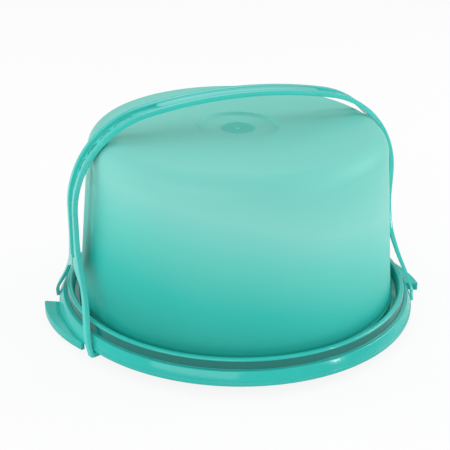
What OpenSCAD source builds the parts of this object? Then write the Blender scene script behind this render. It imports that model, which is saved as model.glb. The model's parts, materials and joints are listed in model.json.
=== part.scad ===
// Cake carrier: a round tray with a grooved rim, a domed cover that stands in the
// groove, and a one-piece strap handle whose forked ends hook under the rim.
// Millimetres. +Z is up, the table is z = 0, and the handle's arch lies along X.

/* [Cover] */
// Outer radius of the cover's wall at the foot of the cover
cover_r = 143; // [120:1:170]
// Height of the cover, from its foot to the flat of its top
cover_h = 156.3; // [110:0.5:200]
// How far the wall leans in between the foot and the top
cover_lean = 12.7; // [4:0.1:24]
// Radius of the rounded shoulder between wall and top
shoulder_round = 19.5; // [8:0.1:30]
// Thickness of the cover's wall
cover_wall = 1.8; // [1.2:0.1:2.6]
// Height of the thicker bead at the cover's foot
foot_bead_h = 5; // [3:0.5:8]
// How far the foot bead stands out from the wall
foot_bead_out = 0.8; // [0.4:0.1:1.6]
// Radius of the round recess in the middle of the top
recess_r = 36; // [20:0.5:60]
// Depth of that recess
recess_depth = 2.8; // [1:0.1:5]
// Radius of the small dish in the recess
dish_r = 15.5; // [6:0.5:18]
// Depth of the small dish
dish_depth = 1.2; // [0.6:0.1:2]
// Radius of the moulding nub in the middle of the dish
nub_r = 2; // [1:0.1:4]
// Height of the moulding nub
nub_h = 1; // [0.5:0.1:2]

/* [Tray] */
// Height of the rim's lower edge over the table
rim_lift = 9; // [8:0.1:13]
// Height of the upright band at the foot of the rim
band_h = 4; // [2.5:0.1:7]
// Height of the sloping skirt above the band
skirt_h = 8; // [5:0.5:14]
// How far the skirt leans in towards its top
skirt_lean = 3.8; // [2:0.1:6]
// Depth of the fine line between band and skirt
line_depth = 0.6; // [0.3:0.1:1]
// Width of the ledge between the skirt and the raised lip
ledge_w = 4.3; // [2.5:0.1:8]
// Height of the raised lip over the ledge
lip_h = 8.7; // [5:0.1:14]
// Width of the top of the raised lip
lip_w = 4.6; // [3.5:0.1:8]
// Width of the groove outside the cover's wall
groove_gap = 6.3; // [3:0.1:10]
// Depth of the groove, from the top of the lip down
groove_depth = 11.7; // [8:0.1:14]
// Gap between the cover's wall and the cake plate inside it
plate_gap = 1.7; // [1:0.1:4]
// Height of the cake plate over the floor of the groove
plate_rise = 6; // [3:0.5:12]
// Depth of the shallow well in the cake plate
well_depth = 2; // [0.5:0.1:3]
// Width of the raised border round that well
border_w = 8; // [4:0.5:20]
// Thickness of the tray's wall
tray_wall = 2.2; // [1.6:0.1:3]
// Radius of the foot ring that the tray stands on, at its middle
foot_ring_r = 122; // [80:1:128]
// Width of the foot ring
foot_ring_w = 3; // [2:0.1:6]

/* [Tabs] */
// Reach of a finger tab past the rim at its wide end
tab_reach = 13.5; // [8:0.5:20]
// Reach of a finger tab past the rim at its narrow end
tab_tail_reach = 2; // [1:0.5:5]
// Angle from the handle's plane to the wide end of a tab
tab_wide_angle = 14; // [10:0.5:15]
// Angle from the handle's plane to the narrow end of a tab
tab_tail_angle = 15.5; // [10:0.5:16]
// Thickness of a finger tab
tab_t = 7; // [5:0.5:8]

/* [Handle] */
// Width of the strap
strap_w = 22; // [19:0.5:25]
// Thickness of the strap
strap_t = 4; // [3:0.1:4.6]
// Width of the raised rail along each edge of the strap
rail_w = 5; // [4:0.1:5.6]
// Depth of the channel between the rails
channel_depth = 1.6; // [0.6:0.1:2]
// Gap between the cover's foot and the inner face of the strap's upright leg
leg_gap = 5.3; // [3:0.1:10]
// Gap between the cover's shoulder and the strap where it bends round it
shoulder_gap = 1.2; // [1:0.1:4]
// Radius of the long arch over the cover
arch_r = 419; // [380:1:500]
// Radius of the bend at each shoulder of the strap
bend_r = 84; // [80:0.5:88]
// Number of windows through each shoulder of the strap
window_count = 6; // [4:1:6]
// Step between two windows along the strap
window_pitch = 16.6; // [14:0.1:17]
// Length of strap left between two windows
window_bar = 3.6; // [2.5:0.1:6]
// Length of the long window at the top of each shoulder
long_window = 19; // [12:0.5:24]
// Width of a window
window_w = 8.6; // [5:0.1:9.6]
// Gap between the strap's arch and an arm, where the strap bends
split_gap = 0.3; // [0.2:0.05:0.4]

/* [Stirrups] */
// Height over the table at which the legs turn apart
fork_z = 71.5; // [66:0.5:76]
// Radius of that turn
fork_r = 60; // [40:1:70]
// Angle of each leg from the upright
fork_angle = 39.5; // [37:0.5:41]
// Width of a leg
leg_w = 4.6; // [4:0.1:5.4]
// Height over the table of the point of the opening between the legs
web_z = 63; // [60:0.5:66]
// Drop from that point to the side corners of the opening
web_drop = 10; // [7:0.5:12]
// Width of the slot that runs up from that point
slot_w = 2.6; // [1.6:0.1:4]
// Length of that slot
slot_h = 9; // [4:0.5:12]
// Height over the table at which each leg turns down again towards its foot
foot_turn_z = 15; // [12:0.5:18]
// Radius of that turn
foot_turn_r = 30; // [15:1:40]
// Angle of each foot from the upright
foot_lean = 25; // [18:0.5:30]
// Height over the table at which the stirrup starts to lean outwards
lean_z = 50; // [46:0.5:56]
// Radius of the bend at which it starts to lean
lean_r = 90; // [40:1:110]
// Thickness of a foot
foot_t = 2.6; // [2.2:0.1:3.4]
// Reach of a foot hook under the rim
hook_reach = 4; // [2:0.1:6]
// Thickness of a foot hook
hook_t = 2.9; // [2:0.1:3.4]
// Gap between a foot hook and the rim's lower edge
hook_gap = 0.7; // [0.4:0.1:1.2]
// Width of a foot hook round the rim, in degrees
hook_span = 2.4; // [2:0.1:4]
// Gap between the rim and the inner face of a foot
rim_clearance = 1.4; // [0.8:0.1:4]

/* [Hidden] */
$fn = 96;
eps = 0.01;
teal = "#3cc0b8";
milky_teal = "#62c4ba";

// Tray, from the middle outwards
lip_in_r = cover_r + groove_gap;
lip_out_r = lip_in_r + lip_w;
skirt_top_r = lip_out_r + ledge_w;
rim_r = skirt_top_r + skirt_lean;
band_top_z = rim_lift + band_h;
ledge_z = band_top_z + skirt_h;
lip_z = ledge_z + lip_h;
groove_z = lip_z - groove_depth;
plate_z = groove_z + plate_rise;
plate_r = cover_r - cover_wall - plate_gap;
edge_round = 1;
tab_round = 1.4;
tab_bite = 1.4;
lip_round = 1.8;

// Cover, standing on the floor of the groove
cover_foot_z = groove_z + 0.3;
cover_top_z = cover_foot_z + cover_h;
cover_top_r = cover_r - cover_lean;
wall_lean = atan(cover_lean / cover_h);
shoulder_x = cover_top_r - shoulder_round * (1 - sin(wall_lean)) / cos(wall_lean);
shoulder_z = cover_top_z - shoulder_round;

// Handle: two arcs that meet smoothly, then an upright leg. The bend clears the cover's shoulder
leg_in_x = cover_r + leg_gap;
leg_out_x = leg_in_x + strap_t;
bend_x = leg_out_x - bend_r;
bend_reach = bend_r - strap_t - shoulder_gap - shoulder_round;
bend_z = shoulder_z - sqrt(pow(bend_reach, 2) - pow(shoulder_x - bend_x, 2));
arch_centre_z = bend_z - sqrt(pow(arch_r - bend_r, 2) - pow(bend_x, 2));
bend_start = asin(bend_x / (arch_r - bend_r));
leg_mid = (strap_w - leg_w) / 2;

// Tabs, each lapping the foot of the rim's band
tab_top_z = rim_lift + tab_bite;
tab_low_z = tab_top_z - tab_t;

// Stirrups, seen from the side: upright, then leaning out, then upright again at the foot
foot_in_x = rim_r + rim_clearance;
foot_bend_z = band_top_z + 2.5;
foot_bend_r = 18;
flare = atan((foot_in_x - leg_in_x) / (lean_z - foot_bend_z));
hook_low_z = rim_lift - hook_gap - hook_t;

// Stirrups, seen from the front: the middle line of a leg, and where its foot ends
leg_half = leg_w / 2;
foot_turn_y = leg_mid + (fork_z - foot_turn_z) * tan(fork_angle);
turn_mean = (fork_angle + foot_lean) / 2;
turn_side = leg_half / cos((fork_angle - foot_lean) / 2) * [cos(turn_mean), sin(turn_mean)];
foot_y = foot_turn_y + (foot_turn_z - hook_low_z - hook_t / 2) * tan(foot_lean);
foot_angle = asin(foot_y / (foot_in_x + foot_t / 2));

// ---------------------------------------------------------------- helpers

// Points of a corner rounded with radius r between the edges to a and to c
function rounded(a, b, c, r) =
    let (steps = min(4 + ceil(r / 2), 14))
    let (u = (a - b) / norm(a - b))
    let (w = (c - b) / norm(c - b))
    let (half = acos(u * w) / 2)
    let (middle = b + (u + w) / norm(u + w) * r / sin(half))
    let (from = b + u * r / tan(half) - middle)
    let (to = b + w * r / tan(half) - middle)
    let (turn = cross(from, to) > 0 ? 1 : -1)
    let (sweep = acos(from * to / (r * r)))
    [for (i = [0 : steps]) middle + turned(from, turn * sweep * i / steps)];

// Vector v turned by an angle
function turned(v, angle) =
    [v.x * cos(angle) - v.y * sin(angle), v.x * sin(angle) + v.y * cos(angle)];

// A closed outline whose points are [x, y, corner radius]; a radius of 0 keeps the corner
function outline(corners) =
    let (n = len(corners))
    [for (i = [0 : n - 1])
        let (b = corners[i])
        let (a = corners[(i + n - 1) % n])
        let (c = corners[(i + 1) % n])
        each b.z == 0 ? [[b.x, b.y]] : rounded([a.x, a.y], [b.x, b.y], [c.x, c.y], b.z)];

// Flat ring from radius a to radius b
module ring(a, b) {
    difference() {
        circle(r = b, $fn = 180);
        circle(r = a, $fn = 180);
    }
}

// Wedge with its point at the origin, between two angles from the Y axis towards X
module wedge(from, to, reach) {
    far = reach / cos((to - from) / 2);
    middle = (from + to) / 2;
    polygon([
        [0, 0],
        [far * sin(from), far * cos(from)],
        [far * sin(middle), far * cos(middle)],
        [far * sin(to), far * cos(to)]
    ]);
}

// ------------------------------------------------------------------- tray

// Half section of the tray: the outer skin going out, then the underside coming back
module tray_section() {
    w = tray_wall;
    well_r = plate_r - border_w;
    polygon(outline([
        [0, plate_z - well_depth, 0],
        [well_r - 2, plate_z - well_depth, 2],
        [well_r, plate_z, 1.5],
        [plate_r, plate_z, 2],
        [plate_r + 0.4, groove_z, 0.8],
        [lip_in_r - 0.4, groove_z, 1.5],
        [lip_in_r, lip_z, lip_round],
        [lip_out_r, lip_z, lip_round],
        [lip_out_r + 1.2, ledge_z, 0.6],
        [skirt_top_r, ledge_z, edge_round],
        [rim_r - line_depth - 0.2, band_top_z + 0.7, 0],
        [rim_r - line_depth - 0.2, band_top_z, 0],
        [rim_r, band_top_z, 0.5],
        [rim_r, rim_lift, edge_round],
        [rim_r - w, rim_lift, 0.8],
        [rim_r - w, band_top_z, 0],
        [skirt_top_r - w, ledge_z - w, 1],
        [lip_out_r + 1 - w, ledge_z - w, 0],
        [lip_out_r - w, lip_z - w, 0.6],
        [lip_in_r + w, lip_z - w, 0],
        [lip_in_r + w - 0.4, groove_z - w, 1.5],
        [plate_r - w, groove_z - w, 1.5],
        [plate_r - w - 0.6, plate_z - w, 1],
        [well_r + 1, plate_z - w, 0],
        [well_r - 1, plate_z - well_depth - w, 0],
        [0, plate_z - well_depth - w, 0]
    ]));
}

// Ring that the tray stands on, reaching up into the underside of the cake plate
module foot_ring() {
    rotate_extrude($fn = 180)
        translate([foot_ring_r - foot_ring_w / 2, 0])
            square([foot_ring_w, plate_z - well_depth - tray_wall / 2]);
}

// Point at an angle from the X axis
function at(angle, radius) = [cos(angle), sin(angle)] * radius;

// Outline of the +X tab: it reaches far at its -Y end and runs out in a curve towards +Y
function tab_outline(inset, back_r) =
    let (spare = asin(inset / rim_r))
    let (from = -tab_wide_angle + spare)
    let (to = tab_tail_angle - spare)
    let (reach = tab_tail_reach - tab_reach)
    let (last = 24)
    outline([
        [at(to, back_r).x, at(to, back_r).y, 0],
        [at(from + 1.2, back_r).x, at(from + 1.2, back_r).y, 0],
        for (i = [0 : last])
            let (share = i / last)
            let (edge = at(from + (to - from) * share, rim_r + tab_reach - inset + reach * pow(share, 1.6)))
            [edge.x, edge.y, i == 0 ? tab_round : 0]
    ]);

// Finger tab on the +X side, hollow from below, with its root under the rim's band
module tab() {
    difference() {
        translate([0, 0, tab_low_z])
            linear_extrude(tab_t)
                polygon(tab_outline(0, rim_r - tray_wall));
        translate([0, 0, tab_low_z - eps])
            linear_extrude(tab_t - tray_wall)
                polygon(tab_outline(tray_wall, rim_r - tray_wall / 2));
        translate([0, 0, -eps])
            cylinder(r = rim_r - tray_wall / 2, h = lip_z, $fn = 180);
    }
}

module base_tray() {
    color(teal)
        union() {
            rotate_extrude($fn = 180)
                tray_section();
            foot_ring();
            tab();
            rotate([0, 0, 180])
                tab();
        }
}

// ------------------------------------------------------------------ cover

// Half section of the cover
module cover_section() {
    w = cover_wall;
    foot = cover_foot_z;
    top = cover_top_z;
    recess = top - recess_depth;
    dish = recess - dish_depth;
    bead = foot_bead_out;
    slope = cover_lean / cover_h;
    polygon(outline([
        [0, dish + nub_h, 0],
        [nub_r, dish + nub_h, 0.4],
        [nub_r, dish, 0],
        [dish_r - 1, dish, 0],
        [dish_r, recess, 0.4],
        [recess_r - 1.6, recess, 1.2],
        [recess_r, top, 1.2],
        [cover_top_r, top, shoulder_round],
        [cover_r - slope * foot_bead_h, foot + foot_bead_h, 0],
        [cover_r + bead, foot + foot_bead_h - 1, 0.4],
        [cover_r + bead, foot, 0.6],
        [cover_r - w, foot, 0.4],
        [cover_top_r - w, top - w, shoulder_round - w],
        [recess_r + w, top - w, 1.2],
        [recess_r - 1.6 + w, recess - w, 1.2],
        [dish_r + 0.6, recess - w, 0],
        [dish_r - 0.4, dish - w, 0],
        [0, dish - w, 0]
    ]));
}

module dome_cover() {
    color(milky_teal)
        rotate_extrude($fn = 180)
            cover_section();
}

// ----------------------------------------------------------------- handle

// Flat band of the arch, seen from the front, between two depths under its outer face
module arch_band(upper, lower) {
    translate([0, arch_centre_z])
        intersection() {
            ring(arch_r - lower, arch_r - upper);
            wedge(-bend_start, bend_start, arch_r + 1);
        }
    for (side = [0, 1])
        mirror([side, 0])
            translate([bend_x, bend_z])
                intersection() {
                    ring(bend_r - lower, bend_r - upper);
                    wedge(bend_start - 0.02, 90, bend_r + 1);
                }
}

// A band seen from the front, given its width across the strap
module across(width) {
    rotate([90, 0, 0])
        linear_extrude(width, center = true)
            children();
}

// Round-ended slot through the strap, with its length upright
module window(length) {
    straight = length - window_w;
    rotate([0, 90, 0])
        union() {
            cube([straight, window_w, 4 * strap_t], center = true);
            for (end = [-1, 1])
                translate([end * straight / 2, 0, 0])
                    cylinder(d = window_w, h = 4 * strap_t, center = true, $fn = 32);
        }
}

// A window at a distance along the bend of the +X shoulder, up from its upright end
module bend_window(distance, length) {
    translate([bend_x, 0, bend_z])
        rotate([0, -distance / bend_r * 180 / PI, 0])
            translate([bend_r - strap_t / 2, 0, 0])
                window(length);
}

module shoulder_windows() {
    short = window_pitch - window_bar;
    for (i = [0 : window_count - 2])
        bend_window(window_bar / 2 + short / 2 + i * window_pitch, short);
    bend_window((window_count - 1) * window_pitch + (window_bar + long_window) / 2, long_window);
}

module handle_arch() {
    color(teal)
        difference() {
            across(strap_w)
                arch_band(0, strap_t);
            across(strap_w - 2 * rail_w)
                arch_band(-strap_t, channel_depth);
            for (side = [0, 1])
                mirror([side, 0, 0])
                    shoulder_windows();
            translate([-arch_r, -strap_w, bend_z - strap_w])
                cube([2 * arch_r, 2 * strap_w, strap_w + split_gap / 2]);
        }
}

// A point on both sides of the middle, given with its corner radius
function both(corners) =
    concat(corners, [for (i = [len(corners) - 1 : -1 : 0]) [-corners[i].x, corners[i].y, corners[i].z]]);

// Where a leg's edge is at a height below its last turn, from one of its edges there
function foot_edge(side, height) =
    foot_turn_y + (foot_turn_z - height) * tan(foot_lean) + side * leg_half / cos(foot_lean);

// Arm seen along the cover's radius: X runs across the strap, Y is the height
module arm_front() {
    corner_z = web_z - web_drop;
    corner_y = leg_mid - leg_half / cos(fork_angle) + (fork_z - corner_z) * tan(fork_angle);
    difference() {
        polygon(outline(both([
            [strap_w / 2, bend_z + 1, 0],
            [strap_w / 2, fork_z + leg_half * tan(fork_angle / 2), fork_r - leg_half],
            [foot_turn_y + turn_side.x, foot_turn_z + turn_side.y, foot_turn_r + leg_half],
            [foot_edge(1, -leg_w), -leg_w, 0]
        ])));
        polygon(outline(both([
            [slot_w / 2, web_z + slot_h, slot_w / 2 - 0.1],
            [slot_w / 2, web_z, 2],
            [corner_y, corner_z, 4],
            [foot_turn_y - turn_side.x, foot_turn_z - turn_side.y, foot_turn_r - leg_half],
            [foot_edge(-1, -2 * leg_w), -2 * leg_w, 0]
        ])));
    }
}

// Half section of the arm about the cover's axis
module arm_side() {
    bend = tan(flare / 2);
    polygon(outline([
        [leg_in_x, bend_z - split_gap / 2, 0],
        [leg_in_x, lean_z, lean_r + strap_t],
        [foot_in_x, foot_bend_z, foot_bend_r],
        [foot_in_x, hook_low_z, 0],
        [foot_in_x + foot_t, hook_low_z, 0],
        [foot_in_x + foot_t, foot_bend_z + foot_t * bend, foot_bend_r + foot_t],
        [leg_out_x, lean_z + strap_t * bend, lean_r],
        [leg_out_x, bend_z - split_gap / 2, 0]
    ]));
}

// Hook under the rim at the foot of one leg
module hook(side) {
    rotate([0, 0, side * foot_angle - hook_span / 2])
        rotate_extrude(angle = hook_span, $fn = 180)
            translate([rim_r - hook_reach, hook_low_z])
                square([foot_in_x - rim_r + hook_reach + foot_t / 2, hook_t]);
}

module arm() {
    low_window = window_pitch - window_bar;
    color(teal)
        union() {
            difference() {
                intersection() {
                    rotate([0, 0, -30])
                        rotate_extrude(angle = 60, $fn = 180)
                            arm_side();
                    rotate([90, 0, 90])
                        linear_extrude(2 * rim_r)
                            arm_front();
                }
                translate([leg_out_x - channel_depth, -strap_w / 2 + rail_w, fork_z])
                    cube([strap_t, strap_w - 2 * rail_w, bend_z]);
                translate([leg_out_x, 0, bend_z - window_bar / 2 - low_window / 2])
                    window(low_window);
            }
            hook(-1);
            hook(1);
        }
}

module right_arm() {
    arm();
}

module left_arm() {
    rotate([0, 0, 180])
        arm();
}

base_tray();
dome_cover();
handle_arch();
left_arm();
right_arm();
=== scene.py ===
# %% [markdown]
# # A cake carrier in Blender
# A round tray with a grooved rim, a milky domed cover that stands in the groove, and a one-piece
# strap handle whose forked ends hook under the rim. The solid model already fixes every size and
# every moving body. Blender gives each moulding its smooth surfaces, soft edges and plastic.

# %% Load the solid model
import json
import math

import bmesh
import bpy
from mathutils import Matrix, Vector


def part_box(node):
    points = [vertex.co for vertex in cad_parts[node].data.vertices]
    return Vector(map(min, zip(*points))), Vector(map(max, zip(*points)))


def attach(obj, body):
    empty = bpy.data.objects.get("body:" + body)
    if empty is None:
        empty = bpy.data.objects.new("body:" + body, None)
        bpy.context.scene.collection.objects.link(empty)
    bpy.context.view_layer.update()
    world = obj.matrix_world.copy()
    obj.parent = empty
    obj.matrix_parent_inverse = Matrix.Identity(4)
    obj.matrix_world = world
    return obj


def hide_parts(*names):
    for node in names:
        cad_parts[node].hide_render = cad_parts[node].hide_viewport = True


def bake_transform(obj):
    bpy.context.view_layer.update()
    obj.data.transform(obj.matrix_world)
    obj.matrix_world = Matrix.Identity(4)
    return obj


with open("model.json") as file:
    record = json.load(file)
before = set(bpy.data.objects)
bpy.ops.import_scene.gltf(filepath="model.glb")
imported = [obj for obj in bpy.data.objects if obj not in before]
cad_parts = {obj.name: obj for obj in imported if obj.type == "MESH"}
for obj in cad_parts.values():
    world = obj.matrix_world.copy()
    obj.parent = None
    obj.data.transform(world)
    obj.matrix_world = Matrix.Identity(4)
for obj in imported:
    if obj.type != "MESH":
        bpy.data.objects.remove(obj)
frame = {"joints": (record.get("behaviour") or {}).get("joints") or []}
bpy.ops.object.select_all(action="DESELECT")
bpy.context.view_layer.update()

# %% [markdown]
# ## Sizes
# The outlines below are written in millimetres, as they would be on a drawing, and scaled to
# metres where they are drawn. What the solid model can say is read from it, so that a change
# there carries over: the rim's radius, the cover's foot and top, the strap's outer face and the
# height at which the strap bends.

# %% Sizes that come from the solid model
MM = 0.001
tray_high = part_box("base_tray")[1] / MM
cover_low, cover_high = (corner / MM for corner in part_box("dome_cover"))
arch_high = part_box("handle_arch")[1] / MM
hinges = [joint for joint in frame["joints"] if joint["type"] == "hinge"]

rim_r = tray_high.y
lip_z = tray_high.z
cover_foot_z = cover_low.z
cover_top_z = cover_high.z
leg_out_x = arch_high.x
bend_z = hinges[0]["pos_m"][2] / MM
print(f"rim radius {rim_r:.1f}, cover {cover_foot_z:.1f} to {cover_top_z:.1f}, bend {bend_z:.1f}")

# %% [markdown]
# ## Drawing an outline
# Most of this object is drawn once as an outline and then turned or thickened. By hand that is
# one point, extruded from corner to corner, with the bevel tool rounding each corner. Here a
# small plane is merged to a single point to start from. Each corner is given as two positions
# and the radius of its rounding.

# %% Pick parts of a mesh by place
def pick(test, kind="VERT"):
    """Selects the points, edges or faces whose place, in millimetres, and normal pass a test."""
    bpy.ops.mesh.select_mode(type=kind)
    bpy.ops.mesh.select_all(action="DESELECT")
    mesh = bpy.context.object.data
    form = bmesh.from_edit_mesh(mesh)
    found = 0
    for part in {"VERT": form.verts, "EDGE": form.edges, "FACE": form.faces}[kind]:
        if kind == "VERT":
            place, normal = part.co, part.normal
        elif kind == "EDGE":
            place, normal = (part.verts[0].co + part.verts[1].co) / 2, None
        else:
            place, normal = part.calc_center_median(), part.normal
        if test(place / MM, normal):
            part.select_set(True)
            found += 1
    form.select_flush_mode()
    bmesh.update_edit_mesh(mesh)
    return found


# %% Draw an outline
def draw_outline(name, corners, upright, closed=True):
    """Extrudes one point from corner to corner, then rounds each corner that has a radius."""
    spots = [Vector((a, 0, b) if upright else (a, b, 0)) for a, b, _ in corners]
    bpy.ops.object.select_all(action="DESELECT")
    bpy.ops.mesh.primitive_plane_add(size=MM)
    piece = bpy.context.object
    piece.name = piece.data.name = name
    bpy.ops.object.mode_set(mode="EDIT")
    bpy.ops.mesh.select_mode(type="VERT")
    bpy.ops.mesh.merge(type="CENTER")
    bpy.ops.transform.translate(value=spots[0] * MM)
    for last, spot in zip(spots, spots[1:]):
        bpy.ops.mesh.extrude_region_move(TRANSFORM_OT_translate={"value": (spot - last) * MM})
    if closed:
        pick(lambda place, _: min((place - spots[0]).length, (place - spots[-1]).length) < 1e-3)
        bpy.ops.mesh.edge_face_add()
    for i, (_, _, radius) in enumerate(corners):
        if radius:
            before = spots[i - 1] - spots[i]
            after = spots[(i + 1) % len(spots)] - spots[i]
            turn = math.pi - before.angle(after)
            pick(lambda place, _: (place - spots[i]).length < 1e-3)
            bpy.ops.mesh.bevel(
                offset=radius * math.tan(turn / 2) * MM,
                segments=2 + int(turn * (1.5 + radius / 2)),
                affect="VERTICES",
            )
    return piece


# %% Finish a mesh
def close_mesh(piece, smooth):
    """Leaves edit mode and shades the mesh smooth, apart from edges sharper than an angle."""
    bpy.ops.object.mode_set(mode="OBJECT")
    bpy.ops.object.shade_smooth_by_angle(angle=math.radians(smooth))
    places = [point.co for point in piece.data.vertices]
    low, high = (Vector(f(place[k] for place in places) for k in range(3)) for f in (min, max))
    faces = len(piece.data.polygons)
    print(f"{piece.name}: {faces} faces, {[round(s / MM, 1) for s in high - low]} mm")
    return piece


# %% [markdown]
# ## Turning a moulding
# The tray and the cover are round all the way, so each is a half section spun about the upright
# axis, just as the mould was turned on a lathe. The spin leaves doubled points where it meets
# itself and at the middle. They are merged, and the normals are then made to point outwards.

# %% Spin an outline
spin_steps = 256


def turn_moulding(name, corners):
    """Spins a half section through a full circle."""
    piece = draw_outline(name, corners, upright=True, closed=False)
    bpy.ops.mesh.select_all(action="SELECT")
    bpy.ops.mesh.spin(steps=spin_steps, angle=math.tau, center=(0, 0, 0), axis=(0, 0, 1))
    bpy.ops.mesh.select_all(action="SELECT")
    bpy.ops.mesh.remove_doubles(threshold=0.01 * MM)
    bpy.ops.mesh.normals_make_consistent(inside=False)
    return close_mesh(piece, smooth=32)


# %% [markdown]
# ## The cover
# On the real carrier this is one thin moulding: a wall that leans in, a rounded shoulder, and a
# flat top with a round recess, a small dish and the nub where the plastic was let in. Its foot has
# a thicker bead that stands in the groove. It could be a cylinder with a bevel, but the inside
# shows through every opening, so the whole wall is drawn, outside and inside.

# %% Make the cover
cover_wall = 1.8
cover_foot_r = 143
cover_lean = 12.7
cover_top_r = cover_foot_r - cover_lean
shoulder_round = 19.5
bead_h, bead_out = 5, 0.8
recess_r, recess_depth = 36, 2.8
dish_r, dish_depth = 15.5, 1.2
nub_r, nub_h = 2, 1
recess_z = cover_top_z - recess_depth
dish_z = recess_z - dish_depth
bead_in = cover_lean / (cover_top_z - cover_foot_z) * bead_h

cover = turn_moulding("cover_dome", [
    (0, dish_z + nub_h, 0),
    (nub_r, dish_z + nub_h, 0.5),
    (nub_r + 0.2, dish_z, 0.3),
    (dish_r - 1, dish_z, 0.6),
    (dish_r, recess_z, 0.5),
    (recess_r - 1.6, recess_z, 1.2),
    (recess_r, cover_top_z, 1.2),
    (cover_top_r, cover_top_z, shoulder_round),
    (cover_foot_r - bead_in, cover_foot_z + bead_h, 0.6),
    (cover_foot_r + bead_out, cover_foot_z + bead_h - 1, 0.4),
    (cover_foot_r + bead_out, cover_foot_z, 0.6),
    (cover_foot_r - cover_wall, cover_foot_z, 0.4),
    (cover_top_r - cover_wall, cover_top_z - cover_wall, shoulder_round - cover_wall),
    (recess_r + cover_wall, cover_top_z - cover_wall, 1.2),
    (recess_r - 1.6 + cover_wall, recess_z - cover_wall, 1.2),
    (dish_r + 0.6, recess_z - cover_wall, 0),
    (dish_r - 0.4, dish_z - cover_wall, 0),
    (0, dish_z - cover_wall, 0),
])
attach(cover, "cover")
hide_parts("dome_cover")

# %% [markdown]
# ## The tray
# The tray is a second round moulding. From the middle outwards it has a shallow well, a raised
# border, the groove that takes the cover, a tall lip, a ledge, a sloping skirt and an upright
# band. Underneath, a foot ring carries it. All of that is one half section again.

# %% Make the tray
tray_wall = 2.2
band_h, skirt_h, skirt_lean, ledge_w = 4, 8, 3.8, 4.3
lip_w, lip_h, lip_round, groove_depth = 4.6, 8.7, 1.8, 11.7
band_line = 0.8
plate_rise, well_depth, border_w = 6, 2, 8
foot_ring_r, foot_ring_w = 122, 3
ledge_z = lip_z - lip_h
band_top_z = ledge_z - skirt_h
rim_low_z = band_top_z - band_h
skirt_top_r = rim_r - skirt_lean
lip_out_r = skirt_top_r - ledge_w
lip_in_r = lip_out_r - lip_w
groove_z = lip_z - groove_depth
plate_z = groove_z + plate_rise
plate_r = cover_foot_r - cover_wall - 1.7
well_r = plate_r - border_w
well_z = plate_z - well_depth

tray = turn_moulding("tray_moulding", [
    (0, well_z, 0),
    (well_r - 2, well_z, 2),
    (well_r, plate_z, 1.5),
    (plate_r, plate_z, 2),
    (plate_r + 0.4, groove_z, 0.8),
    (lip_in_r - 0.4, groove_z, 1.5),
    (lip_in_r, lip_z, lip_round),
    (lip_out_r, lip_z, lip_round),
    (lip_out_r + 1.2, ledge_z, 0.6),
    (skirt_top_r, ledge_z, 1.2),
    (rim_r - band_line, band_top_z + 0.7, 0.2),
    (rim_r - band_line, band_top_z, 0.2),
    (rim_r, band_top_z, 0.6),
    (rim_r, rim_low_z, 1),
    (rim_r - tray_wall, rim_low_z, 0.8),
    (rim_r - tray_wall, band_top_z, 0),
    (skirt_top_r - tray_wall, ledge_z - tray_wall, 1),
    (lip_out_r + 1 - tray_wall, ledge_z - tray_wall, 0),
    (lip_out_r - tray_wall, lip_z - tray_wall, 0),
    (lip_in_r + tray_wall, lip_z - tray_wall, 0),
    (lip_in_r - 0.4 + tray_wall, groove_z - tray_wall, 1.5),
    (plate_r - tray_wall, groove_z - tray_wall, 1.5),
    (plate_r - 0.6 - tray_wall, plate_z - tray_wall, 1),
    (well_r + 1, plate_z - tray_wall, 0),
    (well_r - 1, well_z - tray_wall, 0),
    (foot_ring_r + foot_ring_w / 2, well_z - tray_wall, 0.6),
    (foot_ring_r + foot_ring_w / 2, 0, 0.6),
    (foot_ring_r - foot_ring_w / 2, 0, 0.6),
    (foot_ring_r - foot_ring_w / 2, well_z - tray_wall, 0.6),
    (0, well_z - tray_wall, 0),
])
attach(tray, "tray_and_arch")
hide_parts("base_tray")

# %% [markdown]
# ## Slabs and modifiers
# The finger tabs and the strap start flat: an outline is filled and extruded to its thickness.
# Modifiers then cut or soften the slab, and are applied at once, so that the next step works on
# real faces.

# %% Thicken an outline
def draw_slab(name, corners, low_z, high_z):
    """Fills a closed outline and extrudes it upwards from one height to another."""
    slab = draw_outline(name, corners, upright=False)
    bpy.ops.mesh.select_all(action="SELECT")
    bpy.ops.mesh.edge_face_add()
    bpy.ops.transform.translate(value=(0, 0, low_z * MM))
    rise = {"value": (0, 0, (high_z - low_z) * MM)}
    bpy.ops.mesh.extrude_region_move(TRANSFORM_OT_translate=rise)
    bpy.ops.mesh.select_all(action="SELECT")
    bpy.ops.mesh.normals_make_consistent(inside=False)
    bpy.ops.object.mode_set(mode="OBJECT")
    return slab


# %% Add and apply a modifier
def apply_modifier(piece, kind, **settings):
    """Adds a modifier with its settings and applies it."""
    bpy.ops.object.select_all(action="DESELECT")
    piece.select_set(True)
    bpy.context.view_layer.objects.active = piece
    bpy.ops.object.modifier_add(type=kind)
    modifier = piece.modifiers[-1]
    for name, value in settings.items():
        setattr(modifier, name, value)
    bpy.ops.object.modifier_apply(modifier=modifier.name)


def combine(piece, tool, operation):
    """Cuts another mesh out of a piece or adds it, then deletes that other mesh."""
    apply_modifier(piece, "BOOLEAN", object=tool, operation=operation, solver="EXACT")
    bpy.data.objects.remove(tool)


# %% [markdown]
# ## The finger tabs
# Beside each stirrup the tray reaches out in a fin that the fingers press while the strap is
# unhooked. It hangs level with the foot of the band, is widest at one end and runs out at the
# other. The outer edge is drawn as a line whose radius shrinks with its angle, the inner edge
# follows the band, and the slab gets soft edges and a hollow underside. The second tab is a copy,
# turned half way round the tray.

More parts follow.
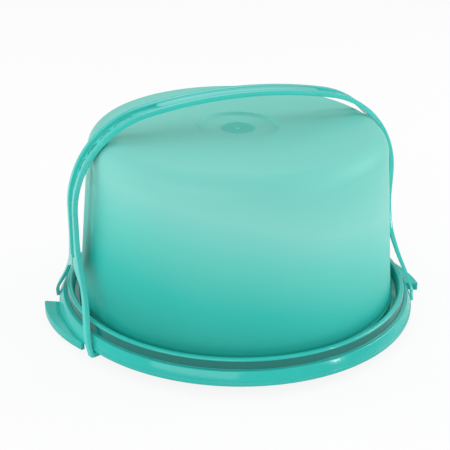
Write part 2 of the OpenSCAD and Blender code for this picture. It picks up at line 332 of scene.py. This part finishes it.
# %% Make the finger tabs
tab_t, tab_bite, tab_round = 7, 1.4, 1.4
tab_low_z = rim_low_z + tab_bite - tab_t
tab_wide_reach, tab_tail_reach, tab_curve = 13.5, 2, 1.6
tab_wide_angle, tab_tail_angle, tab_slant = -14, 15.5, 1.2
tab_edge_steps, tab_edge = 30, 0.5


def tab_outline(inset, back_r):
    """The tab's outline seen from above, or the same outline drawn in by an inset."""
    spare = math.degrees(inset / rim_r)
    start, end = tab_wide_angle + spare, tab_tail_angle - spare
    shares = [step / tab_edge_steps for step in range(tab_edge_steps + 1)]
    corners = []
    for share in shares:
        reach = tab_wide_reach - inset + (tab_tail_reach - tab_wide_reach) * share ** tab_curve
        corners.append((rim_r + reach, start + (end - start) * share, 0 if share else tab_round))
    back = start + tab_slant
    corners += [(back_r, back + (end - back) * share, 0) for share in reversed(shares)]
    turned = [(r, math.radians(degrees), rounding) for r, degrees, rounding in corners]
    return [(r * math.cos(angle), r * math.sin(angle), rounding) for r, angle, rounding in turned]


tab_back_r = rim_r - tray_wall / 2
right_tab = draw_slab("finger_tab_right", tab_outline(0, tab_back_r), tab_low_z, tab_low_z + tab_t)
hollow_top = tab_low_z + tab_t - tray_wall
hollow = draw_slab("tab_hollow", tab_outline(tray_wall, tab_back_r - 1), tab_low_z - 1, hollow_top)
combine(right_tab, hollow, "DIFFERENCE")
apply_modifier(right_tab, "BEVEL", width=tab_edge * MM, segments=3, angle_limit=math.radians(40))
bpy.ops.object.mode_set(mode="EDIT")
close_mesh(right_tab, smooth=50)

# %% Copy the tab to the other side
def half_turn_copy(piece, name):
    """A copy with its own mesh, turned half way round the upright axis."""
    twin = piece.copy()
    twin.data = piece.data.copy()
    twin.name = twin.data.name = name
    bpy.context.collection.objects.link(twin)
    twin.data.transform(Matrix.Rotation(math.pi, 4, "Z"))
    return twin


left_tab = half_turn_copy(right_tab, "finger_tab_left")
for tab in (right_tab, left_tab):
    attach(tab, "tray_and_arch")
print("tabs:", right_tab.name, left_tab.name)

# %% [markdown]
# ## The strap handle, drawn flat
# The real strap is one flexible moulding. It could be swept along its arch, but its windows have
# round ends and its ends fork, and those are easiest to draw flat, as if the strap had been
# unrolled. X then runs along the strap from the middle of the arch, Y runs across it, and the
# outer face is at height 0. Below the shoulder, X counts height alone, so the stirrup is drawn as
# it looks from the side of the carrier: two legs that part slowly and turn down at the feet.

# %% Sizes of the strap
arch_r, bend_r = 419, 84
strap_w, strap_t, rail_w, channel_depth = 22, 4, 5, 2.5

bend_x = leg_out_x - bend_r
arch_angle = math.asin(bend_x / (arch_r - bend_r))
arch_length = arch_r * arch_angle
bend_length = bend_r * (math.pi / 2 - arch_angle)
shoulder_end = arch_length + bend_length
print(f"arch {math.degrees(arch_angle):.1f} degrees each way, upright after {shoulder_end:.0f} mm")


def along_at(height):
    """How far along the flat strap a height below the shoulder lies."""
    return shoulder_end + bend_z - height


# %% Sizes of the stirrups
fork_z, fork_r, fork_angle, leg_w = 71.5, 60, math.radians(39.5), 4.0
foot_turn_z, foot_turn_r, foot_lean = 15, 30, math.radians(25)
web_z, web_drop, web_round, slot_w, slot_h = 63, 10, 4, 2.6, 9

leg_half = leg_w / 2
leg_mid = strap_w / 2 - leg_half
foot_turn_y = leg_mid + (fork_z - foot_turn_z) * math.tan(fork_angle)
turn_mean = (fork_angle + foot_lean) / 2
turn_reach = leg_half / math.cos((fork_angle - foot_lean) / 2)
turn_y, turn_z = turn_reach * math.cos(turn_mean), turn_reach * math.sin(turn_mean)
print(f"each leg turns down {foot_turn_y:.0f} mm from the middle")


def foot_edge(side, height):
    """How far across an edge of a foot is at a height."""
    middle = foot_turn_y + (foot_turn_z - height) * math.tan(foot_lean)
    return middle + side * leg_half / math.cos(foot_lean)


# %% Draw the strap and its fork, a little past the middle and past the feet
over_middle, foot_spare = 20, 2
web_top_round = 2
almost = 0.03  # what a round end keeps straight, so that its two corners don't meet
corner_z = web_z - web_drop
corner_y = leg_mid - leg_half / math.cos(fork_angle) + (fork_z - corner_z) * math.tan(fork_angle)
one_side = [
    (-over_middle, strap_w / 2, 0),
    (along_at(fork_z + leg_half * math.tan(fork_angle / 2)), strap_w / 2, fork_r - leg_half),
    (along_at(foot_turn_z + turn_z), foot_turn_y + turn_y, foot_turn_r + leg_half),
    (along_at(-foot_spare), foot_edge(1, -foot_spare), 0),
    (along_at(-foot_spare), foot_edge(-1, -foot_spare), 0),
    (along_at(foot_turn_z - turn_z), foot_turn_y - turn_y, foot_turn_r - leg_half),
    (along_at(corner_z), corner_y, web_round),
    (along_at(web_z), slot_w / 2, web_top_round),
    (along_at(web_z + slot_h), slot_w / 2, slot_w / 2 - almost),
]
strap = draw_slab(
    "strap_right_half",
    one_side + [(x, -y, r) for x, y, r in reversed(one_side)],
    -strap_t,
    0,
)

# %% [markdown]
# ## Channel, windows and grip pad
# Two rails run along the strap with a channel between them. Round-ended windows through the
# channel let each shoulder flex, and a low pad fills the channel over the middle, where the hand
# goes. Each of these is a slab of its own that is cut out of the strap or added to it.

# %% Cut the channel and the windows
window_count, window_pitch, window_bar, window_w = 6, 16.6, 3.6, 8.6
long_window = 19


def stadium(start, end, width):
    """A round-ended outline along the strap."""
    half = width / 2
    corners = (start, half), (end, half), (end, -half), (start, -half)
    return [(along, across, half - almost) for along, across in corners]


channel_half, channel_round, over_strap = strap_w / 2 - rail_w, 2, 5
channel = draw_slab("channel", [
    (-2 * over_middle, channel_half, 0),
    (along_at(fork_z), channel_half, channel_round),
    (along_at(fork_z), -channel_half, channel_round),
    (-2 * over_middle, -channel_half, 0),
], -channel_depth, over_strap)
combine(strap, channel, "DIFFERENCE")

window_ends = [(shoulder_end + window_bar / 2, shoulder_end + window_pitch - window_bar / 2)]
for i in range(window_count - 1):
    start = shoulder_end - window_bar / 2 - i * window_pitch
    window_ends.append((start - window_pitch + window_bar, start))
long_start = shoulder_end - (window_count - 1) * window_pitch - window_bar / 2
window_ends.append((long_start - long_window, long_start))
for start, end in window_ends:
    window = draw_slab("window", stadium(start, end, window_w), -2 * strap_t, strap_t)
    combine(strap, window, "DIFFERENCE")
print("windows along the strap:", [(round(a), round(b)) for a, b in window_ends])

# %% Add the grip pad and soften every edge
pad_end, pad_w, pad_sunk, pad_root = 75, 10.6, 0.15, 0.4
strap_edge = 0.45
pad = draw_slab("pad", [
    (-2 * over_middle, pad_w / 2, 0),
    (pad_end, pad_w / 2, pad_w / 2 - almost),
    (pad_end, -pad_w / 2, pad_w / 2 - almost),
    (-2 * over_middle, -pad_w / 2, 0),
], -channel_depth - pad_root, -pad_sunk)
combine(strap, pad, "UNION")
apply_modifier(strap, "BEVEL", width=strap_edge * MM, segments=3, angle_limit=math.radians(40))
print("strap drawn flat:", len(strap.data.polygons), "faces")

# %% [markdown]
# ## Bending the strap over its arch
# A flat face can only bend where it has edges, so the bisect tool first cuts the strap across,
# closely where it bends most. Then each point goes to its place on the carrier. Over the cover it
# keeps its distance along the strap and its depth under the outer face, on a long arc and a
# tight arc. Below the shoulder its height is known, and a side view of the stirrup says how far
# out it stands: upright, leaning out over the rim, and upright again at the foot. The stirrup
# also wraps round the tray.

# %% Cut the strap across
def cut_across(places):
    """Adds a ring of edges at each distance along the flat strap."""
    for place in places:
        bpy.ops.mesh.select_all(action="SELECT")
        bpy.ops.mesh.bisect(plane_co=(place * MM, 0, 0), plane_no=(1, 0, 0))


def evenly(start, end, step):
    """Places from start to end, evenly spaced and no more than a step apart."""
    count = math.ceil((end - start) / step)
    return [start + (end - start) * i / count for i in range(count + 1)]


bpy.ops.object.mode_set(mode="EDIT")
bpy.ops.mesh.select_mode(type="VERT")
arch_step, bend_step, upright_step, stirrup_step = 3.5, 1.8, 4, 1.6
upright_low, stirrup_top, stirrup_low = 62, 60, 1
cut_across(evenly(-over_middle + 1, arch_length, arch_step))
cut_across(evenly(arch_length + 1, shoulder_end, bend_step))
cut_across(evenly(shoulder_end + 3, along_at(upright_low), upright_step))
cut_across(evenly(along_at(stirrup_top), along_at(stirrup_low), stirrup_step))
bpy.ops.object.mode_set(mode="OBJECT")

# %% Side view of the stirrup
lean_z, lean_r = 50, 90
foot_bend_z, foot_bend_r, foot_t, rim_clearance = band_top_z + 2.5, 18, 2.6, 1.4
leg_in_x, foot_in_x = leg_out_x - strap_t, rim_r + rim_clearance
lean_angle = math.atan((foot_in_x - leg_in_x) / (lean_z - foot_bend_z))
skew = math.tan(lean_angle / 2)


def side_line(height, upper, lower, upper_corner, lower_corner, upper_r, lower_r):
    """How far out a face is at a height: two upright lines joined by a slanting one."""
    half_turn = math.atan((lower - upper) / (upper_corner - lower_corner)) / 2
    upper_start = upper_corner + upper_r * math.tan(half_turn)
    lower_end = lower_corner - lower_r * math.tan(half_turn)
    if height >= upper_start:
        return upper
    if height <= lower_end:
        return lower
    if height > upper_start - upper_r * math.sin(2 * half_turn):
        return upper + upper_r - math.sqrt(upper_r ** 2 - (upper_start - height) ** 2)
    if height < lower_end + lower_r * math.sin(2 * half_turn):
        return lower - lower_r + math.sqrt(lower_r ** 2 - (height - lower_end) ** 2)
    return upper + (upper_corner - height) * math.tan(2 * half_turn)


def stirrup_out(height, depth):
    """How far out a point of the stirrup is, from its height and depth under the outer face."""
    outer = side_line(height, leg_out_x, foot_in_x + foot_t, lean_z + strap_t * skew,
                      foot_bend_z + foot_t * skew, lean_r, foot_bend_r + foot_t)
    inner = side_line(height, leg_in_x, foot_in_x, lean_z,
                      foot_bend_z, lean_r + strap_t, foot_bend_r)
    return outer + (inner - outer) * -depth / strap_t


# %% Bend it
wrap_height = 30


def on_carrier(flat):
    """Where a point of the flat strap goes."""
    along, across, depth = flat
    if along > shoulder_end:
        height = along_at(0) - along
        out_r = stirrup_out(height, depth)
        share = min((bend_z - height) / wrap_height, 1)
        wrapped = math.sqrt(out_r ** 2 - across ** 2)
        return Vector((out_r + (wrapped - out_r) * share, across, height))
    place, turn = Vector((0, arch_high.z)), 0.0
    for length, radius in ((arch_length, arch_r), (bend_length, bend_r)):
        after = turn + min(along, length) / radius
        way = Vector((math.sin(after) - math.sin(turn), math.cos(after) - math.cos(turn)))
        place += way * radius
        turn = after
        along -= length
        if along <= 0:
            break
    place += Vector((math.sin(turn), math.cos(turn))) * depth
    return Vector((place.x, across, place.y))


for point in strap.data.vertices:
    point.co = on_carrier(point.co / MM) * MM

# %% [markdown]
# ## Feet and halves
# The legs are trimmed level at the table side, and the inner face of each foot is extruded
# towards the middle as the hook that holds the rim from below. The strap bends at both
# shoulders, and one piece can follow only one bend, so it is made as two halves that meet in the
# middle of the arch, where nothing moves.

# %% Trim the feet and pull out the hooks
hook_gap, hook_t, hook_reach = 0.7, 2.9, 4
hook_top = rim_low_z - hook_gap
hook_low = hook_top - hook_t
bpy.ops.object.mode_set(mode="EDIT")
bpy.ops.mesh.select_all(action="SELECT")
bpy.ops.mesh.bisect(
    plane_co=(0, 0, hook_low * MM), plane_no=(0, 0, 1), clear_inner=True, use_fill=True
)
bpy.ops.mesh.select_all(action="SELECT")
bpy.ops.mesh.bisect(plane_co=(0, 0, hook_top * MM), plane_no=(0, 0, 1))
foot_y_least, inward = 20, -0.8
for side in (-1, 1):
    found = pick(
        lambda place, normal: (
            place.y * side > foot_y_least and normal.x < inward and hook_low < place.z < hook_top
        ),
        kind="FACE",
    )
    chosen = [f.calc_center_median() for f in bmesh.from_edit_mesh(strap.data).faces if f.select]
    middle = sum(chosen, Vector()) / len(chosen)
    middle.z = 0
    pull = middle.normalized() * ((rim_r - hook_reach) * MM - middle.length)
    bpy.ops.mesh.extrude_region_move(TRANSFORM_OT_translate={"value": pull})
    print(f"hook from {found} faces, {pull.length / MM:.1f} mm long")

# %% Keep one half and turn a copy round for the other
bpy.ops.mesh.select_mode(type="VERT")
bpy.ops.mesh.select_all(action="SELECT")
bpy.ops.mesh.bisect(plane_co=(0, 0, 0), plane_no=(1, 0, 0), clear_inner=True, use_fill=True)
bpy.ops.mesh.select_all(action="SELECT")
bpy.ops.mesh.remove_doubles(threshold=0.002 * MM)
close_mesh(strap, smooth=30)
left_strap = half_turn_copy(strap, "strap_left_half")
for half, side, arm, body in (
    (strap, 1, "right_arm", "right_strap_end"),
    (left_strap, -1, "left_arm", "left_strap_end"),
):
    hinge = Vector((side * leg_out_x * MM, 0, bend_z * MM))
    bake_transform(half)
    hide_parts("handle_arch", arm)

# %% [markdown]
# ## Shader maths
# A material is a tree of nodes. To keep it readable, a small class wraps a node's output, so
# that sums can be written as sums, and one method adds any other node.

# %% Wrap a socket
class Socket:
    """An output of a node. Sums on it add Math nodes to its tree."""

    def __init__(self, tree, link):
        self.tree, self.link = tree, link

    def node(self, kind, settings=None, values=None, out=0):
        """Adds a node, sets it up, fills or links its inputs, and gives back one of its outputs."""
        node = self.tree.nodes.new(kind)
        for name, value in (settings or {}).items():
            if name == "stops":
                ramp = node.color_ramp
                while len(ramp.elements) < len(value):
                    ramp.elements.new(0.5)
                for element, (position, colour) in zip(ramp.elements, value):
                    element.position, element.color = position, colour
            else:
                setattr(node, name, value)
        for name, value in (values or {}).items():
            if isinstance(value, Socket):
                self.tree.links.new(value.link, node.inputs[name])
            else:
                node.inputs[name].default_value = value
        return Socket(self.tree, node.outputs[out])

    def maths(self, operation, first, second):
        """Adds a Math node."""
        return self.node("ShaderNodeMath", {"operation": operation}, {0: first, 1: second})

    def __add__(self, other):
        return self.maths("ADD", self, other)

    def __sub__(self, other):
        return self.maths("SUBTRACT", self, other)

    def __mul__(self, other):
        return self.maths("MULTIPLY", self, other)

    def __rsub__(self, other):
        return self.maths("SUBTRACT", other, self)

    __radd__, __rmul__ = __add__, __mul__


# %% Start a material
def start_material(name, **constants):
    """A material with one Principled shader, its steady values set on its own sockets."""
    material = bpy.data.materials.new(name)
    material.use_nodes = True
    tree = material.node_tree
    surface = tree.nodes["Principled BSDF"]
    for socket, value in constants.items():
        surface.inputs[socket.replace("_", " ")].default_value = value
    places = tree.nodes.new("ShaderNodeTexCoord")
    return material, surface, Socket(tree, places.outputs["Object"])


def feed(surface, name, value):
    """Links a value to one of the shader's sockets."""
    value.tree.links.new(value.link, surface.inputs[name])


def colour(code):
    """A colour as written in a paint shop, turned into the linear values that Blender uses."""
    parts = [int(code[i:i + 2], 16) / 255 for i in (1, 3, 5)]
    return (*(p / 12.92 if p < 0.04045 else ((p + 0.055) / 1.055) ** 2.4 for p in parts), 1)


def noise(places, per_metre, detail=2.0):
    """A soft random pattern from 0 to 1, with so many blobs to a metre."""
    return places.node(
        "ShaderNodeTexNoise", {}, {"Vector": places, "Scale": per_metre, "Detail": detail}
    )


def blend_colours(share, first, second):
    """From one colour to another as a share goes from 0 to 1."""
    return share.node(
        "ShaderNodeMix", {"data_type": "RGBA"}, {"Factor": share, 6: first, 7: second}, out=2
    )


def ramp_up(value, low, high, smooth=True):
    """From 0 to 1 as a value goes from low to high."""
    kind = "SMOOTHSTEP" if smooth else "LINEAR"
    ends = {"Value": value, "From Min": low, "From Max": high}
    return value.node("ShaderNodeMapRange", {"interpolation_type": kind}, ends)


def axis_of(places, axis):
    """One of the three numbers of a place."""
    return places.node("ShaderNodeSeparateXYZ", {}, {"Vector": places}, out=axis)


def from_axis(places):
    """Distance from the carrier's upright axis."""
    flatten = {0: places, 1: (1, 1, 0)}
    level = places.node("ShaderNodeVectorMath", {"operation": "MULTIPLY"}, flatten)
    return places.node("ShaderNodeVectorMath", {"operation": "LENGTH"}, {0: level}, out=1)


def roughen(surface, places, height, strength, distance):
    """Bumps a surface by a pattern of heights."""
    feed(surface, "Normal", places.node(
        "ShaderNodeBump", {}, {"Strength": strength, "Distance": distance, "Height": height}
    ))


# %% [markdown]
# ## Glossy plastic
# Tray and strap are one polypropylene, from a polished mould. The gloss is not perfect: the skin
# ripples a little where the plastic cooled, and wiping leaves it slightly duller in patches. Both
# come from noise, one in the bump and one in the roughness. The colour drifts a little too, and
# the outer wall of the tray's standing lip gets painted shade: a deeper colour where it is shaded.

# %% Make the glossy plastic
def glossy_plastic(name, light, dark, lip_shade=None):
    """Coloured plastic with a clear skin. A third colour, if given, is painted shade on the lip's
    outer wall.
    """
    material, surface, places = start_material(
        name, Coat_Weight=0.15, Coat_Roughness=0.05, IOR=1.42
    )
    shade = blend_colours(ramp_up(noise(places, 9), 0.3, 0.7), colour(light), colour(dark))
    # Painted shade: the lip's outer wall, between the ledge and the top, gets a darker colour.
    if lip_shade:
        height = axis_of(places, 2)
        over_ledge = ramp_up(height, (ledge_z - 0.3) * MM, (ledge_z + 0.6) * MM)
        under_top = 1 - ramp_up(height, (lip_z - 2.2) * MM, (lip_z - 1.2) * MM)
        outside = ramp_up(from_axis(places), (lip_in_r + 1) * MM, (lip_in_r + 2) * MM)
        shade = blend_colours(over_ledge * under_top * outside, shade, colour(lip_shade))
    feed(surface, "Base Color", shade)
    feed(surface, "Roughness", 0.14 + 0.06 * ramp_up(noise(places, 60, 4), 0.35, 0.75))
    ripple = noise(places, 45) + 0.08 * noise(places, 700, 3)
    roughen(surface, places, ripple, strength=0.10, distance=0.5 * MM)
    return material


# The third colour, #007169, is painted shade for the outer wall of the tray's lip.
tray_plastic = glossy_plastic("tray_plastic", "#2ec0b5", "#24b5ab", lip_shade="#007169")
strap_plastic = glossy_plastic("strap_plastic", "#4bd0c6", "#40c8be")

# %% [markdown]
# ## Milky plastic
# The cover is the same plastic with less colour in it, from a mould with a fine matt grain. Its
# colour holds painted light and shade: it is paler towards its top and towards one side, where
# light comes in, and deeper towards the tray, with a painted shade in the small dish. A colour
# ramp over the height, tilted a little and broken up by noise, paints this.

# %% Make the milky plastic
tilt_share, cloud_share, dish_share = 0.16, 0.10, 0.85


def milky_plastic(name, stops, dish_shade):
    """Matt plastic with painted light and shade: its colour follows its height, with a painted
    shade in the dish.
    """
    material, surface, places = start_material(name, IOR=1.38)
    # Painted light and shade: the colour goes paler with height and towards +X, where light comes
    # in.
    height = ramp_up(axis_of(places, 2), cover_foot_z * MM, cover_top_z * MM, smooth=False)
    tilt = axis_of(places, 0) * (tilt_share / (cover_top_r * MM))
    level = height + tilt + cloud_share * (noise(places, 7, 3) - 0.5)
    shade = level.node(
        "ShaderNodeValToRGB", {"stops": [(at, colour(code)) for at, code in stops]}, {"Fac": level}
    )
    # Painted shade in the small dish.
    reach = from_axis(places)
    past_nub = ramp_up(reach, nub_r * MM, (nub_r + 1) * MM)
    in_dish = 1 - ramp_up(reach, (dish_r - 3) * MM, (dish_r + 1) * MM)
    share = dish_share * past_nub * in_dish
    feed(surface, "Base Color", blend_colours(share, shade, colour(dish_shade)))
    feed(surface, "Roughness", 0.42 + 0.10 * noise(places, 40, 3))
    grain = noise(places, 1600, 3) + 0.4 * noise(places, 300)
    roughen(surface, places, grain, strength=0.16, distance=0.3 * MM)
    return material


# The ramp's stops, foot to top, are painted light and shade; the last colour is painted shade for
# the dish.
cover_plastic = milky_plastic("cover_plastic", [
    (0.0, "#1fa89c"), (0.22, "#2bbaae"), (0.5, "#61cbbf"), (0.7, "#80d2c7"), (1.0, "#70cabe"),
], dish_shade="#3dbbaf")

for piece, material in (
    (cover, cover_plastic),
    (tray, tray_plastic),
    (right_tab, tray_plastic),
    (left_tab, tray_plastic),
    (strap, strap_plastic),
    (left_strap, strap_plastic),
):
    piece.data.materials.clear()
    piece.data.materials.append(material)
print("materials:", [m.name for m in (cover_plastic, tray_plastic, strap_plastic)])

# %% [markdown]
# ## Floor and surroundings
# The carrier stands on a plain white sheet, as in a catalogue. The camera sees the sheet and the
# world as white, while the sheet still takes the carrier's soft shadow.

# %% Start a tree with the share of what the camera itself sees
def camera_share(tree):
    """Clears a tree and gives 1 where the camera looks straight at it, otherwise 0."""
    tree.nodes.clear()
    rays = tree.nodes.new("ShaderNodeLightPath")
    return Socket(tree, rays.outputs["Is Camera Ray"])


# %% Make the floor
whiteness, sheet_grey = 0.88, 0.82
bpy.ops.object.select_all(action="DESELECT")
bpy.ops.mesh.primitive_plane_add(size=30)
floor = bpy.context.object
floor.name = "floor"
floor_material = bpy.data.materials.new("floor_sheet")
floor_material.use_nodes = True
floor.data.materials.append(floor_material)
tree = floor_material.node_tree
seen = camera_share(tree)
sheet = seen.node("ShaderNodeBsdfDiffuse", {}, {"Color": (sheet_grey, sheet_grey, sheet_grey, 1)})
glow = seen.node("ShaderNodeEmission", {}, {"Color": (1, 1, 1, 1), "Strength": 1.0})
both = seen.node("ShaderNodeMixShader", {}, {"Fac": whiteness * seen, 1: sheet, 2: glow})
out = tree.nodes.new("ShaderNodeOutputMaterial")
tree.links.new(both.link, out.inputs["Surface"])

# %% Make the world
room_level = 0.42
world = bpy.data.worlds.new("studio")
bpy.context.scene.world = world
world.use_nodes = True
tree = world.node_tree
seen = camera_share(tree)
level = room_level + (1 - room_level) * seen
back = seen.node("ShaderNodeBackground", {}, {"Color": (1, 1, 1, 1), "Strength": level})
out = tree.nodes.new("ShaderNodeOutputWorld")
tree.links.new(back.link, out.inputs["Surface"])

# %% [markdown]
# ## Lights
# The light comes from broad, soft lamps. The main one hangs over the back right, as wide as a
# ceiling, so that the strap's shadow on the cover stays soft. One at the front left and a low one
# at the right light the wall of the cover, and a long narrow one draws the highlights along the
# rim. The last stands at the back left, for the cover's far edge, and doesn't show in the gloss.

# %% Add the lamps
lit_spot = Vector((0, 0, 0.09))


def add_lamp(name, place, size, power):
    """A soft rectangular lamp that faces the middle of the carrier."""
    bpy.ops.object.light_add(type="AREA", location=place)
    lamp = bpy.context.object
    lamp.name = name
    lamp.data.shape = "RECTANGLE"
    lamp.data.size, lamp.data.size_y = size
    lamp.data.energy = power
    towards = lit_spot - Vector(place)
    lamp.rotation_euler = towards.to_track_quat("-Z", "Y").to_euler()
    return lamp


add_lamp("main_lamp", (0.6, 0.5, 1.5), (3.0, 2.4), 15)
add_lamp("front_lamp", (-1.2, -1.2, 0.9), (1.8, 1.2), 14)
add_lamp("right_lamp", (1.5, -0.2, 0.8), (0.8, 0.8), 8)
add_lamp("rim_lamp", (1.0, -1.2, 0.55), (0.12, 0.5), 4)
left_lamp = add_lamp("left_lamp", (-1.4, 0.9, 0.7), (1.0, 1.0), 10)
left_lamp.visible_glossy = False

# %% [markdown]
# ## Camera
# The photograph was taken from about a metre away, to the left of the carrier's front and above
# it. The place is given as an azimuth and a height round the middle of the carrier, and three
# small turns put the carrier where it stands in the frame.

# %% Add the camera
camera_azimuth, camera_elevation = math.radians(-22), math.radians(23.36)
camera_distance = 1.0
focus = Vector((0, 0, 0.092))
pitch, yaw, roll = math.radians(-0.71), math.radians(0.59), math.radians(-1.09)
image_width, focal_pixels, sensor = 450, 1108.2, 36

back = Vector((
    math.sin(camera_azimuth) * math.cos(camera_elevation),
    -math.cos(camera_azimuth) * math.cos(camera_elevation),
    math.sin(camera_elevation),
))
ahead = -back
right = Vector((math.cos(camera_azimuth), math.sin(camera_azimuth), 0))
above = right.cross(ahead)
for axis_name, angle in (("right", pitch), ("above", yaw), ("ahead", roll)):
    turn = Matrix.Rotation(angle, 3, {"right": right, "above": above, "ahead": ahead}[axis_name])
    right, above, ahead = turn @ right, turn @ above, turn @ ahead

camera_data = bpy.data.cameras.new("camera")
camera_data.sensor_width = sensor
camera_data.lens = sensor * focal_pixels / image_width
camera = bpy.data.objects.new("camera", camera_data)
bpy.context.collection.objects.link(camera)
camera.matrix_world = Matrix.Translation(focus + back * camera_distance) @ Matrix(
    (right, above, -ahead)
).transposed().to_4x4()
bpy.context.scene.camera = camera
bpy.context.scene.view_settings.view_transform = "Standard"
print(f"lens {camera_data.lens:.1f} mm")
